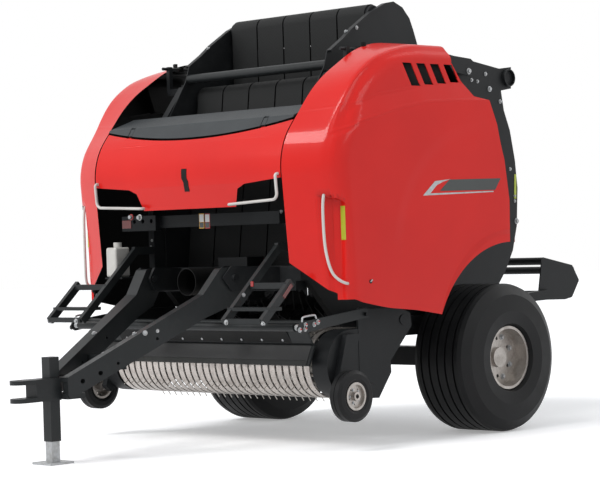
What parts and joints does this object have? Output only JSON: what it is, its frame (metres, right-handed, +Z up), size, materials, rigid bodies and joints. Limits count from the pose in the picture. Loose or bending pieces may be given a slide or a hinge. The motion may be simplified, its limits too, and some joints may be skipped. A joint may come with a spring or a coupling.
{
  "type": "round baler with variable belt chamber",
  "caption": "Towed round baler with red side panels and hood, belt chamber, tined pick-up with gauge wheels, opening tailgate, bale ramp, drawbar and parking jack.",
  "frame": {"origin": "on the ground under the middle of the axle", "axes": "+Z up, -Y towards the drawbar and the tractor, +X towards the machine's left side"},
  "size_m": [2.464, 4.5914, 2.738],
  "materials": {
    "red_plastic": "gloss",
    "grey_plastic": "satin",
    "black_paint": "satin",
    "dark_paint": "satin",
    "silver_paint": "satin",
    "galvanised": "matte",
    "tyre_rubber": "matte",
    "belt_rubber": "matte",
    "chromed_rod": "polished",
    "bright_steel": "satin",
    "tank_plastic": "satin",
    "black_plastic": "satin",
    "lamp_plastic": "gloss",
    "tube_grey": "satin"
  },
  "bodies": {
    "frame": {"axle_beam": "black_paint", "belts_front": "belt_rubber", "drawbar": "dark_paint", "front_beam": "dark_paint", "gearbox": "black_paint", "hitch_clevis": "dark_paint", "jack_tube": "dark_paint", "main_frame": "black_paint", "oil_tank": "tank_plastic", "pto_shield": "black_plastic", "roller_bar": "dark_paint", "rollers_front": "black_paint", "side_walls": "black_paint", "steps": "dark_paint", "top_cover": "grey_plastic"},
    "jack_leg": {"jack_leg": "galvanised"},
    "pto_stub": {"pto_stub": "bright_steel"},
    "hood": {"hood": "red_plastic", "hood_handles": "tube_grey"},
    "panel_left": {"panel_left": "red_plastic", "grab_bar_left": "tube_grey"},
    "panel_right": {"panel_right": "red_plastic", "grab_bar_right": "tube_grey"},
    "pickup": {"pickup_frame": "black_paint", "stripper_bands": "silver_paint"},
    "reel": {"reel": "bright_steel"},
    "feed_rotor": {"feed_rotor": "black_paint"},
    "gauge_wheel_left": {"gauge_tyre_left": "tyre_rubber", "gauge_rim_left": "silver_paint"},
    "gauge_wheel_right": {"gauge_tyre_right": "tyre_rubber", "gauge_rim_right": "silver_paint"},
    "wind_guard": {"wind_guard": "dark_paint"},
    "guard_roller": {"guard_roller": "dark_paint"},
    "tailgate": {"tailgate_sides": "black_paint", "tailgate_beams": "black_paint", "belts_rear": "belt_rubber", "rollers_rear": "black_paint", "rear_lamps": "lamp_plastic"},
    "barrel_left": {"cylinder_barrel_left": "black_paint"},
    "barrel_right": {"cylinder_barrel_right": "black_paint"},
    "rod_left": {"cylinder_rod_left": "chromed_rod"},
    "rod_right": {"cylinder_rod_right": "chromed_rod"},
    "ramp": {"bale_ramp": "black_paint"},
    "wheel_left": {"tyre_left": "tyre_rubber", "rim_left": "silver_paint"},
    "wheel_right": {"tyre_right": "tyre_rubber", "rim_right": "silver_paint"}
  },
  "joints": [
    {"name": "wheel_left_spin", "type": "hinge", "parent": "frame", "child": "wheel_left", "pos_m": [0.985, 0, 0.465], "axis": [1, 0, 0], "continuous": true},
    {"name": "wheel_right_spin", "type": "hinge", "parent": "frame", "child": "wheel_right", "pos_m": [-0.985, 0, 0.465], "axis": [1, 0, 0], "continuous": true},
    {"name": "jack_extend", "type": "slide", "parent": "frame", "child": "jack_leg", "axis": [0, 0, 1], "range_m": [0, 0.11]},
    {"name": "pto_spin", "type": "hinge", "parent": "frame", "child": "pto_stub", "pos_m": [0, -1.45, 1.007], "axis": [0, 1, 0], "continuous": true},
    {"name": "hood_open", "type": "hinge", "parent": "frame", "child": "hood", "pos_m": [0, -1.496, 1.972], "axis": [-1, 0, 0], "range_deg": [0, 70]},
    {"name": "panel_left_open", "type": "hinge", "parent": "frame", "child": "panel_left", "pos_m": [0.8, -0.78, 2.395], "axis": [0, -1, 0], "range_deg": [0, 60]},
    {"name": "panel_right_open", "type": "hinge", "parent": "frame", "child": "panel_right", "pos_m": [-0.8, -0.78, 2.395], "axis": [0, 1, 0], "range_deg": [0, 60]},
    {"name": "pickup_lift", "type": "hinge", "parent": "frame", "child": "pickup", "pos_m": [0, -0.8, 0.74], "axis": [1, 0, 0], "range_deg": [0, 16]},
    {"name": "reel_spin", "type": "hinge", "parent": "pickup", "child": "reel", "pos_m": [0, -1.245, 0.475], "axis": [1, 0, 0], "continuous": true},
    {"name": "gauge_left_spin", "type": "hinge", "parent": "pickup", "child": "gauge_wheel_left", "pos_m": [1.136, -1.41, 0.325], "axis": [1, 0, 0], "continuous": true},
    {"name": "gauge_right_spin", "type": "hinge", "parent": "pickup", "child": "gauge_wheel_right", "pos_m": [-1.136, -1.41, 0.325], "axis": [1, 0, 0], "continuous": true},
    {"name": "wind_guard_lift", "type": "hinge", "parent": "pickup", "child": "wind_guard", "pos_m": [0, -1.15, 0.79], "axis": [-1, 0, 0], "range_deg": [0, 7]},
    {"name": "guard_roller_spin", "type": "hinge", "parent": "wind_guard", "child": "guard_roller", "pos_m": [0, -1.69, 0.738], "axis": [1, 0, 0], "continuous": true},
    {"name": "feed_rotor_spin", "type": "hinge", "parent": "frame", "child": "feed_rotor", "pos_m": [0, -0.8, 0.74], "axis": [1, 0, 0], "continuous": true},
    {"name": "tailgate_open", "type": "hinge", "parent": "frame", "child": "tailgate", "pos_m": [0, -0.06, 2.38], "axis": [1, 0, 0], "range_deg": [0, 60]},
    {"name": "ramp_tip", "type": "hinge", "parent": "frame", "child": "ramp", "pos_m": [0, 0.62, 0.7], "axis": [-1, 0, 0], "range_deg": [0, 28]},
    {"name": "barrel_left_swing", "type": "hinge", "parent": "frame", "child": "barrel_left", "pos_m": [0.712, -0.11, 0.83], "axis": [1, 0, 0], "range_deg": [0, 6.57]},
    {"name": "rod_left_extend", "type": "slide", "parent": "barrel_left", "child": "rod_left", "axis": [0, 0.5526, 0.8334], "range_m": [0, 0.8262]},
    {"name": "barrel_right_swing", "type": "hinge", "parent": "frame", "child": "barrel_right", "pos_m": [-0.712, -0.11, 0.83], "axis": [1, 0, 0], "range_deg": [0, 6.57]},
    {"name": "rod_right_extend", "type": "slide", "parent": "barrel_right", "child": "rod_right", "axis": [0, 0.5526, 0.8334], "range_m": [0, 0.8262]}
  ],
  "couplings": [
    {"joint": "barrel_left_swing", "follows": "tailgate_open", "ratio": 0.10945},
    {"joint": "rod_left_extend", "follows": "tailgate_open", "m_per_rad": 0.78896},
    {"joint": "barrel_right_swing", "follows": "tailgate_open", "ratio": 0.10945},
    {"joint": "rod_right_extend", "follows": "tailgate_open", "m_per_rad": 0.78896}
  ]
}
